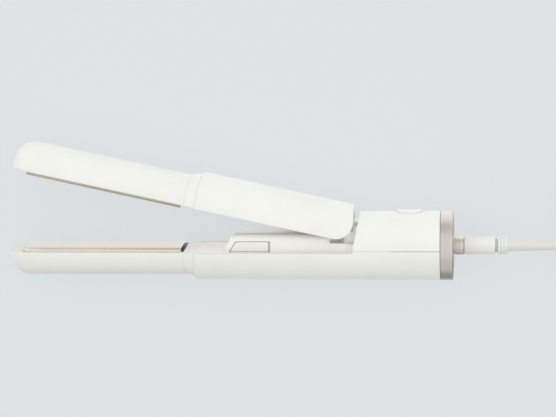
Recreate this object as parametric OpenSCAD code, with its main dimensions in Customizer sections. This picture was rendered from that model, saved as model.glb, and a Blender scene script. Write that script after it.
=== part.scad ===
// Two-way hair iron: two sprung arms with floating heated plates in a round barrel.
// Millimetres. The iron lies on its side on a table, as its springs and round handle make it lie:
// +X runs from the tips to the cord, the arms open towards +Y, and +Z is up from the table.
// Pieces are drawn about the lower arm's axis, with x from the tip, and laid down at the end.

/* [Arms] */
// Diameter of the handle and of the metal ring
handle_d = 36.5; // [36:0.5:42]
// Diameter of the closed barrel that hair is curled round
barrel_d = 31; // [30.6:0.2:32.4]
// Thickness of the handle shells
handle_wall = 1.8; // [1.5:0.1:2.2]
// Thickness of the barrel shells
barrel_wall = 1.8; // [1.6:0.1:1.9]
// Length of the rounded tip in front of each plate
tip_len = 8.1; // [7.6:0.1:12]
// Radius of the tip's rounding
tip_r = 11; // [9:0.5:12]
// Length of the taper between barrel and handle
collar_len = 5.4; // [5:0.2:9]
// Length of the grip, from the taper to the hinge housing
grip_len = 84; // [82:1:100]
// Length of the hinge housing, from its front wall to the ring
housing_len = 45.8; // [45.6:0.2:56]
// Length of the metal ring
ring_len = 7; // [6.6:0.2:9]
// Drop of each arm's split edge from its middle plane
edge_drop = 1.2; // [1:0.1:1.5]
// Angle between the arms as they rest open
open_angle = 12.4; // [10:0.2:15]

/* [Plates] */
// Length of each heated plate
plate_len = 83.5; // [78:0.5:95]
// Width of each heated plate
plate_w = 25; // [24:0.2:25.2]
// Thickness of each plate
plate_t = 3.4; // [3:0.1:3.6]
// Rounding of the plate's long edges
plate_edge_r = 2.8; // [1.5:0.1:2.9]
// How far the lower plate's face stands past its arm's middle plane
lower_proud = 0.5; // [0.3:0.1:0.8]
// How far the upper plate's face stands past its arm's middle plane
upper_proud = 1.4; // [0.8:0.1:1.6]
// How far a plate can be pressed in
plate_travel = 0.8; // [0.6:0.1:1]
// Gap beside each long edge of a plate
plate_side_gap = 0.3; // [0.25:0.05:0.5]
// Gap in front of a plate
plate_front_gap = 0.8; // [0.5:0.1:1.2]
// Gap behind a plate
plate_rear_gap = 1.4; // [0.8:0.1:2]
// Width of the heater bar
heater_w = 12; // [9:0.5:13]
// Thickness of the heater bar
heater_t = 2.9; // [2.4:0.1:3.2]
// Wire diameter of the plate springs
plate_spring_wire = 0.6; // [0.4:0.1:0.8]

/* [Control block] */
// Width of the raised block between the arms
block_w = 24.4; // [22:0.4:25]
// Height of its top above the middle plane
block_top = 8.2; // [7:0.2:8.6]
// Height of its lower rear part above the middle plane
block_low = 3.3; // [2.6:0.1:3.6]
// Rounding of its long edges
block_r = 4; // [3:0.2:4.6]
// Length of flat land in front of it
land_len = 15.4; // [12:0.2:18]
// Length over which its front slopes up
slope_run = 5.9; // [4:0.1:8]
// Thickness of its walls and of the covers
cover_wall = 1.6; // [1.4:0.1:1.8]
// Length of the mode key along its foot
key_len = 20.4; // [18:0.2:24]
// Height of the mode key
key_h = 5.1; // [4:0.1:5.2]
// Travel of the mode key
key_travel = 0.6; // [0.4:0.1:0.7]

/* [Hinge and switch] */
// Distance of the hinge pin behind the housing's front wall
hinge_setback = 6.8; // [6.6:0.1:7.6]
// Depth of the hinge pin below the inside of the handle's shell
hinge_depth = 5.85; // [5.5:0.05:6.05]
// Radius of the hinge pin
pin_r = 1.5; // [1.2:0.1:1.6]
// Radius of the arm's knuckle
knuckle_r = 3.6; // [3.4:0.1:3.8]
// Width of the arm's hinge tongue
tongue_w = 12.8; // [11:0.2:13]
// Width of the torsion spring
spring_w = 4.6; // [3.6:0.1:5]
// Backward lean of the housing's front wall, from foot to top
wall_lean = 3.5; // [2.8:0.1:3.6]
// Length of the power button
button_len = 13.6; // [11:0.2:14]
// Width of the power button
button_w = 8.6; // [7:0.2:9.4]
// How far the power button stands out of the handle
button_proud = 0.9; // [0.7:0.1:1.4]
// Travel of the power button
button_travel = 0.6; // [0.4:0.1:0.7]
// Radius of the screws
screw_r = 1.3; // [1.1:0.1:1.4]
// Length of the screws under their heads
screw_len = 8; // [6.5:0.5:9]

/* [Cord] */
// Diameter of the cord
cord_d = 4.5; // [4.2:0.1:4.6]
// Diameter of the swivelling sleeve
sleeve_d = 9.4; // [9:0.2:11]
// Length of the sleeve's plain part
sleeve_len = 16.5; // [15:0.5:24]
// Length of the tapered tail that protects the cord
tail_len = 23.6; // [18:0.2:26]
// Radius of a plug pin
plug_pin_r = 2; // [2:0.1:2.4]
// Length of a plug pin
plug_pin_len = 19; // [17:0.5:20]
// Distance between the plug pins
plug_pin_pitch = 18.6; // [17.6:0.2:19]
// Length of the plug's body
plug_len = 35; // [32:0.5:38]
// Width of the plug's body
plug_w = 35.3; // [33:0.1:37]
// Thickness of the plug's body
plug_t = 13.6; // [12.6:0.2:14.6]

/* [Hidden] */

// Clearances
face_gap = 0.1; // between the plates' faces, between lugs and their stops
slip = 0.05; // between pieces that seat in one another
run_gap = 0.4; // between pieces that move past one another
far = 60; // longer than any cut through a piece needs
over_run = 80; // how far a cutting shape runs on past the cap
lead_in = 10; // and how far in front of the tip it starts

handle_r = handle_d / 2;
barrel_r = barrel_d / 2;
handle_in = handle_r - handle_wall;
barrel_in = barrel_r - barrel_wall;

// Stations along the lower arm, from the tip
plate_x = tip_len + plate_front_gap;
plate_end = plate_x + plate_len;
collar_x = plate_end + plate_rear_gap;
handle_x = collar_x + collar_len;
front_wall = 1.8; // the handle's front wall round the collar's spigot
lid_x = handle_x + front_wall + slip;
block_x = handle_x + land_len;
wall_x = handle_x + grip_len;
ring_x = wall_x + housing_len;
body_len = ring_x + ring_len;
hinge_x = wall_x + hinge_setback;
hinge_z = handle_in - hinge_depth; // above the lower arm's middle plane

// Heights in the middle of an arm
arm_gap = lower_proud + upper_proud + face_gap; // the arms' middle planes when closed
rail_t = 1.4;
rail_w = heater_w / 2 + slip + rail_t; // half width over the plate's rails
rail_h = heater_t + 0.5;
clip_t = 0.8;
tray_wall = 1.4;
tray_w = rail_w + slip + tray_wall; // half width over the carrier
lip_z = -edge_drop - cover_wall - 0.2; // underside of the tip's land, which stops the plates
lug_t = 1.8;
lug_w = 10;
lug_len = 2.2;

// Springs under each plate carrier
plate_spring_r = 2.6;
plate_spring_at = [0.24, 0.78]; // shares of the plate's length
spring_seat_z = -barrel_in + 1;

// The control block
block_end = wall_x - 14.5; // where its top ends
block_drop_end = block_end + 2.5; // where its lower part begins
cheek_w = 20; // width over the two cheeks that stand beside the arm's tongue
cheek_gap = 0.8; // between the cheeks and the closed arm's round corner
cheek_top = hinge_z + 1.4;
corner_r = handle_r - block_w / 2; // soft corners beside its rear end
pocket_clear = 0.8; // between block and liner when closed
pocket_w = block_w + 2 * pocket_clear;
key_slot = 0.25; // gap round the key
key_foot_gap = 0.12; // closer gap under it
key_slot_rear = 0.9; // wider gap behind the key
key_foot = -edge_drop + key_foot_gap;
key_x = block_x + (key_foot + edge_drop) * slope_run / (block_top + edge_drop) + 3.7;
key_slant = key_h * slope_run / (block_top + edge_drop);
key_depth = cover_wall + 0.1 + slip;
key_flange = 0.6;

// The hinge
lug_gap = run_gap; // beside the tongue
ear_t = 2.8;
ear_in = tongue_w / 2 + lug_gap;
ear_out = ear_in + ear_t;
pin_len = 2 * ear_out + 1;
bracket_z = -2; // underside of the bracket's base
bracket_t = 2;
notch_w = spring_w + 0.8; // the tongue's notch for the spring
spring_r = knuckle_r - 0.3;
slot_h = [hinge_z - 5.6, hinge_z + 4.3]; // the wall's slot for the tongue, low and high edge

// Screws: two down through the control block, two down through the hinge bracket,
// and two up through the upper arm's pocket
screw_head_r = screw_r + 1.1;
screw_head_h = 1.7;
screw_gap = 0.25; // round shanks and heads that pass through
thread_gap = 0.03; // round the threads in their bosses
boss_r = screw_r + 2;
well_r = screw_head_r + screw_gap;
post_r = well_r + 1.2;
block_screw_back = [15, 6]; // in front of the end of the block's top
block_screw_side = [4.5, -3];
block_screws = [for (i = [0, 1]) [block_end - block_screw_back[i], block_screw_side[i]]];
seam_from = 20; // start of the housing's open seam, behind its wall
block_joint = -4.6; // where the block's posts meet the lower shell's bosses
post_foot = 1.6; // thickness of a post's foot, under the screw's head
bracket_screws = [for (side = [-1, 1]) [hinge_x - 2, side * 3.9]];
upper_screw_in = [12, 4]; // inside the ends of the block
upper_screws_at = [[block_x + upper_screw_in[0], 0], [block_end - upper_screw_in[1], 0]];
boss_floor = 0.5; // left under the threads of the upper screws

// Board and power switch in the hinge housing
board_x = [ring_x - 31, ring_x - 11];
board_w = 22;
board_z = 3;
board_t = 1.6;
button_x = ring_x - 16.4;
switch_h = 4;
plunger_h = 1.2;
button_hole_gap = 0.2;
flange_margin = 1.2;
flange_t = 1.3;

// Ring, cap and swivel
spigot_len = 3.4;
ring_in = handle_r - 1.3;
spigot_in = ring_in - 1.6;
cap_x = ring_x + spigot_len + slip;
cap_back = body_len - 0.4;
neck_len = 5.3;
neck_end = body_len + neck_len;
neck_r = sleeve_d / 2 + 0.2;
stem_r = 3.5;
swivel_flange_r = 7;
swivel_flange_t = 2;
swivel_in = cap_x - slip - swivel_flange_t;
sleeve_x = neck_end + face_gap;
groove_x = sleeve_x + sleeve_len;
groove_w = 1.5;
groove_depth = 1.3;
rib_depth = 0.35;
rib_count = 3;
rib_pitch = 1.7;
tail_x = groove_x + groove_w + rib_count * rib_pitch;
tail_r = 3.05;
tail_end_r = cord_d / 2 + 0.2;
exit_x = tail_x + tail_len;

// Where the iron lies: the swung arm's tip reaches furthest to the side
tip_reach = hinge_z + (hinge_x - tip_r) * sin(open_angle)
    + (barrel_r - tip_r + arm_gap - hinge_z) * cos(open_angle) + tip_r;
side_mid = (tip_reach - handle_r) / 2;

// The cord leaves at this point of the table's frame and lies to the right of the iron
cord_exit = [exit_x - neck_end / 2, -side_mid, handle_r];
tie_t = 0.8;
coil_turns = 10;
coil_layers = 4;
coil_mid = [209.4, 0];
coil_mean_r = 25.4;
turn_pitch = 5.15;
layer_pitch = 4.95;
coil_dip = 0.7; // extra room where the spiral reverses
coil_rings = 24;
coil_sides = 6;
layer_turns = (coil_turns - (coil_layers - 1) / 2) / coil_layers;
coil_out = coil_mean_r + layer_turns * turn_pitch / 2;
coil_in = coil_mean_r - layer_turns * turn_pitch / 2;
coil_top_z = tie_t + slip + cord_d / 2 + (coil_layers - 1) * layer_pitch;
tie_w = 9;
tie_angle = 70;
tie_room = [0.75, 0.15]; // inside and outside the coil

white = [0.94, 0.94, 0.92];
heat_white = [0.93, 0.93, 0.9];
champagne = [0.86, 0.8, 0.7];
greige = [0.76, 0.73, 0.7];
steel = [0.75, 0.76, 0.78];
board_green = [0.16, 0.4, 0.25];
black = [0.12, 0.12, 0.13];
ceramic = [0.9, 0.88, 0.82];
$fn = 72;

// ---------- shapes shared by the pieces ----------

// Lays the iron on its side on the table
module lay() {
    translate([-neck_end / 2, -side_mid, handle_r]) rotate([-90, 0, 0]) children();
}

// Turns a piece of the lower arm into its twin on the upper arm, swung open
module on_upper_arm() {
    translate([hinge_x, 0, hinge_z])
        rotate([0, open_angle, 0])
            translate([-hinge_x, 0, arm_gap - hinge_z])
                mirror([0, 0, 1])
                    children();
}

// Turns a flat profile of [radius, length] about the arm's axis
module turned() {
    rotate([0, 90, 0]) rotate_extrude($fn = 96) children();
}

// A round bar along the arm
module bar(x0, x1, r) {
    translate([x0, 0, 0]) rotate([0, 90, 0]) cylinder(r = r, h = x1 - x0);
}

// A box from one corner to the other, centred across the arm
module slab(x0, x1, w, z0, z1) {
    translate([x0, -w / 2, z0]) cube([x1 - x0, w, z1 - z0]);
}

// An outline of [across, up] drawn out along the arm
module drawn(x0, x1) {
    translate([x0, 0, 0]) rotate([90, 0, 90]) linear_extrude(x1 - x0) children();
}

// An outline of [along, up] drawn out across the arm
module across(w) {
    rotate([90, 0, 0]) linear_extrude(w, center = true) children();
}

// An outline with its two upper corners rounded
module crown(half_w, low, high, r) {
    translate([-half_w, low]) square([2 * half_w, high - low - r]);
    translate([r - half_w, low]) square([2 * (half_w - r), high - low]);
    for (side = [-1, 1])
        translate([side * (half_w - r), high - r]) intersection() {
            circle(r);
            translate([-r, 0]) square([2 * r, r]);
        }
}

// A slot outline with round ends, along the arm
module obround(len, w) {
    square([len - w, w], center = true);
    for (side = [-1, 1])
        translate([side * (len - w) / 2, 0]) circle(w / 2);
}

// Everything below a height
module below(z) {
    intersection() {
        children();
        slab(-lead_in, body_len + over_run, far, z - far, z);
    }
}

// Everything above a height
module above(z) {
    intersection() {
        children();
        slab(-lead_in, body_len + over_run, far, z, z + far);
    }
}

// ---------- one arm's barrel ----------

// The barrel's body, inset on all sides
module barrel_form(inset) {
    r = barrel_r - inset;
    corner = tip_r - inset;
    flat_r = barrel_r - tip_r;
    turned() {
        translate([0, tip_r]) square([r, collar_x - tip_r]);
        translate([0, inset]) square([flat_r, tip_r - inset]);
        intersection() {
            translate([flat_r, tip_r]) circle(corner);
            translate([flat_r, 0]) square([r, tip_r]);
        }
    }
}

module barrel_shell() {
    difference() {
        below(-edge_drop) barrel_form(0);
        difference() {
            below(lip_z) barrel_form(barrel_wall);
            // the long edges stay thick beside the plate
            for (side = [-1, 1])
                translate([0, side * (plate_w / 2 + plate_side_gap + 5), -edge_drop])
                    cube([2 * body_len, 10, 2 * (window_foot() + edge_drop)], center = true);
        }
        slab(tip_len, collar_x + 1, plate_w + 2 * plate_side_gap, -7, 1);
    }
    // round seats for the plate's springs, with a peg inside each
    for (share = plate_spring_at)
        translate([plate_x + share * plate_len, 0, 0]) {
            intersection() {
                translate([0, 0, -barrel_r]) cylinder(r = plate_spring_r + 0.6, h = barrel_r + spring_seat_z);
                bar(-10, 10, barrel_in + 0.6);
            }
            translate([0, 0, spring_seat_z - 0.2])
                cylinder(r = plate_spring_r - plate_spring_wire - 0.3, h = 1.6);
        }
}

// Depth at which the hollow is as wide as the plate's window
function window_foot() = sqrt(pow(barrel_in, 2) - pow(plate_w / 2 + plate_side_gap, 2));

module collar() {
    spigot_r = handle_in - 1.5;
    difference() {
        below(-edge_drop) {
            turned() {
                polygon([
                    [0, collar_x], [barrel_r + 0.1, collar_x], [handle_r - 1.5, handle_x],
                    [spigot_r, handle_x], [spigot_r, handle_x + front_wall], [0, handle_x + front_wall],
                ]);
            }
        }
        // pocket for the carrier's rear lug
        slab(collar_x - 1, collar_x + lug_len + 0.6, lug_w + 1, lip_z - lug_t - plate_travel - 0.6, lip_z);
        // way through for the leads
        translate([0, 0, -barrel_r * 0.62]) bar(collar_x - 1, handle_x + 5, 3.4);
    }
    // rim that plugs into the barrel
    intersection() {
        difference() {
            bar(collar_x - 3.5, collar_x + 0.5, barrel_in - slip);
            bar(collar_x - 5, collar_x + 1, barrel_in - 1.4);
        }
        slab(0, body_len, 14, -barrel_r, -barrel_in * 0.7);
    }
}

// ---------- one arm's floating plate ----------

// Undersides of the stacked pieces, for a plate whose face stands proud
function plate_under(proud) = proud - plate_t;
function heater_under(proud) = plate_under(proud) - slip - heater_t;
function clip_under(proud) = heater_under(proud) - slip - clip_t;
function tray_under(proud) = clip_under(proud) - slip - tray_wall;

module plate(proud) {
    drawn(plate_x, plate_end) {
        crown(plate_w / 2, plate_under(proud), proud, plate_edge_r);
        for (side = [-1, 1])
            translate([side * (rail_w - rail_t / 2) - rail_t / 2, plate_under(proud) - rail_h])
                square([rail_t, rail_h + 0.5]);
    }
}

module heater(proud) {
    z = heater_under(proud);
    slab(plate_x + 5, plate_end - 5, heater_w, z, z + heater_t);
    // terminal tabs towards the handle
    for (side = [-1, 1])
        translate([plate_end - 5.5, side * heater_w / 4 - 0.8, z + heater_t / 2 - 0.3])
            cube([3, 1.6, 0.6]);
}

module heater_clip(proud) {
    slab(plate_x + 7, plate_end - 7, heater_w, clip_under(proud), clip_under(proud) + clip_t);
}

module plate_carrier(proud) {
    low = tray_under(proud);
    top = plate_under(proud) - slip;
    difference() {
        slab(plate_x + 0.5, plate_end - 0.5, 2 * tray_w, low, top);
        slab(plate_x - 1, plate_end + 1, 2 * (rail_w + slip), low + tray_wall, top + 1);
    }
    // end walls with a lug each that stops under the land
    for (end = [0, 1]) {
        wall_from = end == 0 ? plate_x + 0.5 : plate_end - 0.5 - tray_wall;
        lug_from = end == 0 ? plate_x + 0.5 - lug_reach(0) : plate_end - 0.5;
        slab(wall_from, wall_from + tray_wall, heater_w - 0.4, low, lip_z - face_gap);
        slab(lug_from, lug_from + lug_reach(end), lug_w, lip_z - face_gap - lug_t, lip_z - face_gap);
    }
}

// How far a carrier's lug reaches past the carrier, at the tip or at the collar
function lug_reach(end) = 0.5 + (end == 0 ? plate_front_gap : plate_rear_gap) + lug_len - 0.6;

module plate_springs(proud) {
    for (share = plate_spring_at)
        translate([plate_x + share * plate_len, 0, spring_seat_z + slip])
            difference() {
                cylinder(r = plate_spring_r, h = tray_under(proud) - spring_seat_z - 2 * slip);
                translate([0, 0, -1])
                    cylinder(r = plate_spring_r - plate_spring_wire, h = barrel_r);
            }
}

// ---------- handles ----------

// The handle's round body with a small chamfer at its front
module handle_form(x1, inset) {
    r = handle_r - inset;
    x0 = handle_x + (inset > 0 ? front_wall : 0);
    chamfer = inset > 0 ? 0 : 0.8;
    turned()
        polygon([[0, x0], [r - chamfer, x0], [r, x0 + chamfer], [r, x1], [0, x1]]);
}

// Space behind the housing's leaning front wall
module behind_wall(offset) {
    across(far)
        polygon([
            [wall_x + offset, 0], [wall_x + offset + wall_lean, handle_r],
            [wall_x + offset + wall_lean * 2, handle_r * 2], [body_len + over_run, handle_r * 2],
            [body_len + over_run, -handle_r], [wall_x + offset - wall_lean, -handle_r],
        ]);
}

// Bosses that stand on a round shell's inside, up to a height
module bosses(places, high, r) {
    intersection() {
        bar(handle_x, ring_x, handle_in + 0.5);
        for (p = places)
            translate([p[0], p[1], -handle_r]) cylinder(r = r, h = handle_r + high);
    }
}

// Threaded holes down from a height
module threads(places, high, len) {
    for (p = places)
        translate([p[0], p[1], high - len - 0.4])
            cylinder(r = screw_r + thread_gap, h = len + 1);
}

// Screws whose heads rest at a height, pointing down
module screws(places, high, len) {
    for (p = places)
        translate([p[0], p[1], high]) {
            translate([0, 0, -len]) cylinder(r = screw_r, h = len);
            cylinder(r = screw_head_r, h = screw_head_h);
        }
}

module lower_handle_shell() color(white) lay() {
    difference() {
        union() {
            difference() {
                union() {
                    below(-edge_drop) handle_form(wall_x, 0);
                    below(0) bar(wall_x - 0.01, ring_x, handle_r);
                    below(0) bar(ring_x - 1, ring_x + spigot_len, ring_in - slip);
                }
                bar(handle_x - 1, handle_x + front_wall + 1, handle_in - 1.5 + slip);
                bar(handle_x + front_wall, ring_x - 1.5, handle_in);
                bar(ring_x - 2, body_len, spigot_in);
            }
            // bosses for the screws, and rests for the board
            bosses(block_screws, block_joint - slip, boss_r);
            bosses(bracket_screws, bracket_z - slip, boss_r);
            bosses([
                for (x = [board_x[0] + 3, board_x[1] - 3], side = [-1, 1]) [x, side * (board_w / 2 - 3)]
            ], board_z, 1.6);
        }
        threads(block_screws, block_joint + post_foot, screw_len);
        threads(bracket_screws, bracket_z + bracket_t, screw_len);
        seam_line();
    }
}

// Fine line where the two halves of the housing meet
module seam_line() {
    for (side = [-1, 1])
        translate([wall_x + seam_from, side * handle_r - 0.25, -0.14])
            cube([ring_x - wall_x, 0.5, 0.28]);
}

module rear_top_shell() color(white) lay() {
    difference() {
        above(slip) union() {
            bar(wall_x - 1, ring_x, handle_r);
            bar(ring_x - 1, ring_x + spigot_len, ring_in - slip);
        }
        intersection() {
            union() {
                bar(wall_x, ring_x - 1.5, handle_in);
                bar(ring_x - 2, body_len, spigot_in);
            }
            behind_wall(handle_wall);
        }
        // nothing stands in front of the leaning wall
        difference() {
            slab(wall_x - 5, wall_x + 10, far, -1, handle_r + 1);
            behind_wall(0);
        }
        slab(wall_x - 2, wall_x + handle_wall + wall_lean + 2, tongue_w + 2 * run_gap, slot_h[0], slot_h[1]);
        translate([button_x, 0, 0])
            linear_extrude(handle_r + 5) obround(button_len + 2 * button_hole_gap, button_w + 2 * button_hole_gap);
        seam_line();
    }
}

// The block's side view, inset on all sides
module block_side(inset) {
    foot = -edge_drop - (inset > 0 ? 9 : 0);
    lean = slope_run / (block_top + edge_drop);
    polygon([
        [block_x + inset * 1.2 + lean * (foot + edge_drop), foot],
        [block_x + slope_run + inset * 0.55, block_top - inset],
        [block_end - inset * 0.4, block_top - inset],
        [block_drop_end - inset * 0.4, block_low - inset],
        [wall_x + 4, block_low - inset], [wall_x + 4, foot],
    ]);
}

// Space of the closed upper arm's round rear corner, with a gap round it
module closed_arm_corner(gap) {
    mid = [upper_end - upper_corner_r, arm_gap + edge_drop + upper_corner_r];
    translate(mid) circle(upper_corner_r + gap);
    translate([mid[0] - far, mid[1] - upper_corner_r - gap]) square(far);
    translate([mid[0] - far, mid[1]]) square([far + upper_corner_r + gap, far]);
}

// The key's outline in side view, grown by a margin, with its own room behind and under it
module key_side(margin, rear, under) {
    slant = key_slant / key_h;
    low = key_foot - under;
    high = key_foot + key_h + margin;
    polygon([
        [key_x - margin * 1.2 + slant * (low - key_foot), low],
        [key_x - margin * 1.2 + slant * (high - key_foot), high],
        [key_x + key_len + rear, high], [key_x + key_len + rear, low],
    ]);
}

module inner_cover() color(white) lay() {
    difference() {
        union() {
            // flat lid between the shell's edges
            intersection() {
                slab(lid_x, wall_x - slip, far, -edge_drop - cover_wall, -edge_drop);
                bar(handle_x, body_len, handle_in - slip);
            }
            // raised block
            intersection() {
                drawn(block_x - 1, wall_x + 4) crown(block_w / 2, -edge_drop - 0.5, block_top, block_r);
                across(far) block_side(0);
            }
            // soft corners where the land ends at the housing
            intersection() {
                translate([0, 0, -edge_drop - 0.5]) linear_extrude(block_low + edge_drop + 0.5)
                    for (side = [-1, 1])
                        difference() {
                            translate([wall_x - corner_r, side * (block_w / 2 + corner_r / 2) - corner_r / 2 - 0.2])
                                square([corner_r + 4, corner_r + 0.4]);
                            translate([wall_x - corner_r, side * handle_r]) circle(corner_r);
                        }
                bar(handle_x, body_len, handle_r - 0.02);
            }
            // cheeks in front of the housing's wall, hollowed like the arm's rear corner
            difference() {
                slab(block_drop_end, wall_x + 4, cheek_w, block_low - 0.5, cheek_top);
                across(far) closed_arm_corner(cheek_gap);
                slab(block_drop_end - 1, wall_x + 5, tongue_w + 2 * run_gap, hinge_z - knuckle_r - run_gap, far);
            }
            for (p = block_screws)
                translate([p[0], p[1], block_joint]) cylinder(r = post_r, h = block_top - block_joint - 0.5);
        }
        // the block's hollow, open below
        intersection() {
            drawn(block_x - 1, wall_x + 5)
                crown(block_w / 2 - cover_wall, -edge_drop - cover_wall - 1, block_top - cover_wall, block_r - cover_wall);
            across(far) block_side(cover_wall);
            difference() {
                slab(0, body_len, far, -20, 20);
                for (p = block_screws)
                    translate([p[0], p[1], -20]) cylinder(r = post_r, h = 40);
            }
        }
        for (p = block_screws)
            translate([p[0], p[1], block_joint]) {
                translate([0, 0, -1]) cylinder(r = screw_r + screw_gap, h = 5);
                translate([0, 0, post_foot]) cylinder(r = well_r, h = block_top - block_joint);
            }
        // window for the key in the near wall
        translate([0, -block_w / 2, 0]) across(2 * cover_wall + 0.4) key_side(key_slot, key_slot_rear, key_foot_gap);
        behind_wall(-slip);
    }
}

// ---------- mode key and its switch ----------

module mode_key() color(heat_white) lay() {
    near = -block_w / 2 - 0.1;
    translate([0, near + key_depth / 2, 0]) across(key_depth) key_side(0, 0, 0);
    translate([0, near + key_depth + key_flange / 2 - 0.01, 0])
        across(key_flange) difference() {
            key_side(0.45, key_slot_rear + 0.7, 0.45);
            // nothing reaches towards the sloping front
            translate([key_x - 5, key_foot - 5]) square([5 + key_slant, 20]);
        }
}

module key_board() lay() {
    face = -block_w / 2 - 0.1 + key_depth + key_flange + key_travel + 0.1;
    front = block_x + slope_run + 2;
    x = key_x + key_len / 2 + 2;
    color(black) translate([x - 3, face, -0.5]) cube([6, 2.6, 4]);
    color(board_green)
        translate([front, face + 2.6, -3]) cube([16, 1.2, block_top - cover_wall + 3 - slip]);
}

// ---------- hinge ----------

module hinge_bracket() color(white) lay() {
    base_x = [wall_x + 1.2, hinge_x + knuckle_r + 2];
    difference() {
        union() {
            slab(base_x[0], base_x[1], 2 * ear_out, bracket_z, bracket_z + bracket_t);
            intersection() {
                for (side = [-1, 1])
                    translate([0, side * (ear_in + ear_t / 2), 0]) {
                        slab(hinge_x - knuckle_r, hinge_x + knuckle_r, ear_t, bracket_z, hinge_z);
                        translate([hinge_x, 0, hinge_z]) rotate([90, 0, 0])
                            cylinder(r = knuckle_r, h = ear_t, center = true);
                    }
                behind_wall(handle_wall + slip);
                bar(handle_x, ring_x, handle_in - slip);
            }
        }
        translate([hinge_x, 0, hinge_z]) rotate([90, 0, 0])
            cylinder(r = pin_r + 0.02, h = far, center = true);
        for (p = bracket_screws)
            translate([p[0], p[1], bracket_z - 1]) cylinder(r = screw_r + screw_gap, h = bracket_t + 2);
    }
}

module hinge_pin() color(steel) lay()
    translate([hinge_x, 0, hinge_z]) rotate([90, 0, 0])
        cylinder(r = pin_r, h = pin_len, center = true);

module hinge_spring() color(steel) lay() {
    translate([hinge_x, 0, hinge_z]) {
        rotate([90, 0, 0]) difference() {
            cylinder(r = spring_r, h = spring_w, center = true);
            cylinder(r = pin_r + 0.3, h = far, center = true);
        }
        // the leg that bears on the bracket's base
        translate([spring_r - 0.5, spring_w / 2 - 0.5, -hinge_z + bracket_z + bracket_t + slip])
            cylinder(r = 0.4, h = hinge_z - bracket_z - bracket_t - slip);
    }
}

// ---------- electrics in the housing ----------

module control_board() lay() {
    color(board_green)
        slab(board_x[0], board_x[1], board_w, board_z + slip, board_z + board_t);
    // a capacitor, a triac with its tab, and a chip
    color(black) {
        translate([board_x[0] + 4, 6.5, board_z + board_t]) cylinder(r = 2.6, h = 6);
        translate([board_x[0] + 2, -9.5, board_z + board_t]) cube([4, 6, 5]);
        translate([board_x[0] + 2, -4, board_z - 1.2]) cube([6, 8, 1.25]);
    }
}

module power_switch() color(black) lay()
    translate([button_x, 0, board_z + board_t + slip]) {
        translate([-3, -3, 0]) cube([6, 6, switch_h]);
        cylinder(r = 1.2, h = switch_h + plunger_h);
    }

module power_button() color(white) lay() {
    cap_foot = sqrt(pow(handle_in, 2) - pow(button_w / 2 + flange_margin, 2)) - 0.4;
    stem_foot = board_z + board_t + slip + switch_h + plunger_h + button_travel + face_gap;
    intersection() {
        translate([button_x, 0, cap_foot - 0.1]) linear_extrude(far) obround(button_len, button_w);
        bar(ring_x - far, ring_x, handle_r + button_proud);
    }
    translate([button_x, 0, cap_foot - flange_t])
        linear_extrude(flange_t) obround(button_len + 2 * flange_margin, button_w + 2 * flange_margin);
    translate([button_x, 0, stem_foot]) cylinder(r = 1.5, h = cap_foot - flange_t - stem_foot + 0.1);
}

module housing_screws() color(steel) lay() {
    screws(block_screws, block_joint + post_foot, screw_len);
    screws(bracket_screws, bracket_z + bracket_t, screw_len);
}

// ---------- ring, cap and swivelling cord sleeve ----------

module trim_ring() color(greige) lay()
    turned()
        polygon([
            [ring_in, ring_x + slip], [handle_r - 0.3, ring_x + slip], [handle_r, ring_x + slip + 0.3],
            [handle_r, body_len - 0.5], [handle_r - 0.5, body_len], [ring_in, body_len],
        ]);

module end_cap() color(greige) lay()
    turned()
        polygon([
            [stem_r + slip, cap_x], [ring_in - slip, cap_x], [ring_in - slip, cap_back],
            [neck_r + 0.6, cap_back], [neck_r, cap_back + 0.6], [neck_r, neck_end],
            [stem_r + slip, neck_end],
        ]);

module cord_swivel() color(white) lay() {
    r = sleeve_d / 2;
    turned()
        polygon(concat(
            [
                [0, swivel_in], [swivel_flange_r, swivel_in],
                [swivel_flange_r, swivel_in + swivel_flange_t], [stem_r, swivel_in + swivel_flange_t],
                [stem_r, sleeve_x], [r - 0.5, sleeve_x], [r, sleeve_x + 0.5],
                [r, groove_x], [r - groove_depth, groove_x], [r - groove_depth, groove_x + groove_w],
            ],
            [
                for (i = [0:rib_count - 1], p = [[0, 0], [rib_pitch * 0.7, 0], [rib_pitch * 0.7, rib_depth], [rib_pitch, rib_depth]])
                    [r - p[1], groove_x + groove_w + i * rib_pitch + p[0]]
            ],
            [[tail_r, tail_x], [tail_end_r, exit_x], [0, exit_x]]
        ));
}

// ---------- floating plates ----------

// A small round part that lies along the underside of a carrier
module carrier_sensor(proud, r, len) {
    mid = (plate_x + plate_end) / 2;
    translate([0, 0, tray_under(proud) - r - slip]) bar(mid - len / 2, mid + len / 2, r);
}

module lower_barrel_shell() color(heat_white) lay() barrel_shell();
module lower_collar() color(heat_white) lay() collar();
module lower_plate() color(champagne) lay() plate(lower_proud);
module lower_heater() color(ceramic) lay() heater(lower_proud);
module lower_heater_clip() color(steel) lay() heater_clip(lower_proud);
module lower_plate_carrier() color(black) lay() plate_carrier(lower_proud);
module lower_plate_springs() color(steel) lay() plate_springs(lower_proud);
module thermal_fuse() color(steel) lay() carrier_sensor(lower_proud, 1.6, 10);

module upper_barrel_shell() color(heat_white) lay() on_upper_arm() barrel_shell();
module upper_collar() color(heat_white) lay() on_upper_arm() collar();
module upper_plate() color(champagne) lay() on_upper_arm() plate(upper_proud);
module upper_heater() color(ceramic) lay() on_upper_arm() heater(upper_proud);
module upper_heater_clip() color(steel) lay() on_upper_arm() heater_clip(upper_proud);
module upper_plate_carrier() color(black) lay() on_upper_arm() plate_carrier(upper_proud);
module upper_plate_springs() color(steel) lay() on_upper_arm() plate_springs(upper_proud);
module thermistor() color(ceramic) lay() on_upper_arm() carrier_sensor(upper_proud, 1.2, 5);

// ---------- upper handle ----------

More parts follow.
